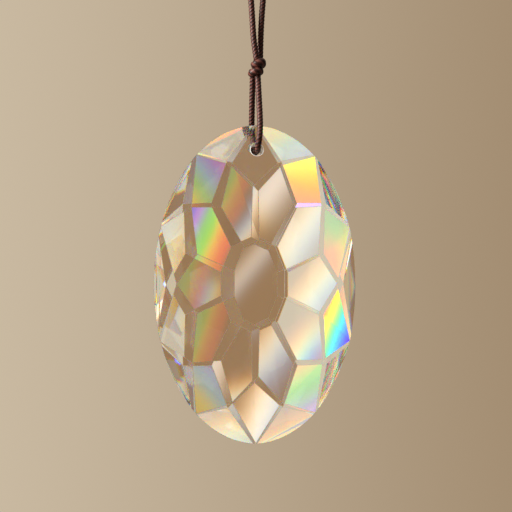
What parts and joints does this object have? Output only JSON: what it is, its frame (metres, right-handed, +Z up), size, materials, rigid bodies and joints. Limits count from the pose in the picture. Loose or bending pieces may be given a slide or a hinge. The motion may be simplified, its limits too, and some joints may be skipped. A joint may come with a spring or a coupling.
{
  "type": "crystal sun catcher",
  "caption": "Oval clear crystal prism, cut with facets on both sides, hung through a drilled hole on a knotted dark waxed cord that ends in a hanging loop.",
  "frame": {"origin": "the point inside the top of the hanging loop, where a hook or nail carries it", "axes": "+Z up along the oval's long axis, +X across its width, and the front face, with the slightly larger table, towards -Y"},
  "size_m": [0.0486, 0.02, 0.1296],
  "materials": {
    "crystal": "clear polished cut crystal with a ground hole wall",
    "cord": "dark brown twisted cord with a waxy sheen"
  },
  "bodies": {
    "root": {"crystal": "crystal", "lower_loop": "cord", "knot": "cord", "hanging_loop": "cord"}
  },
  "joints": []
}
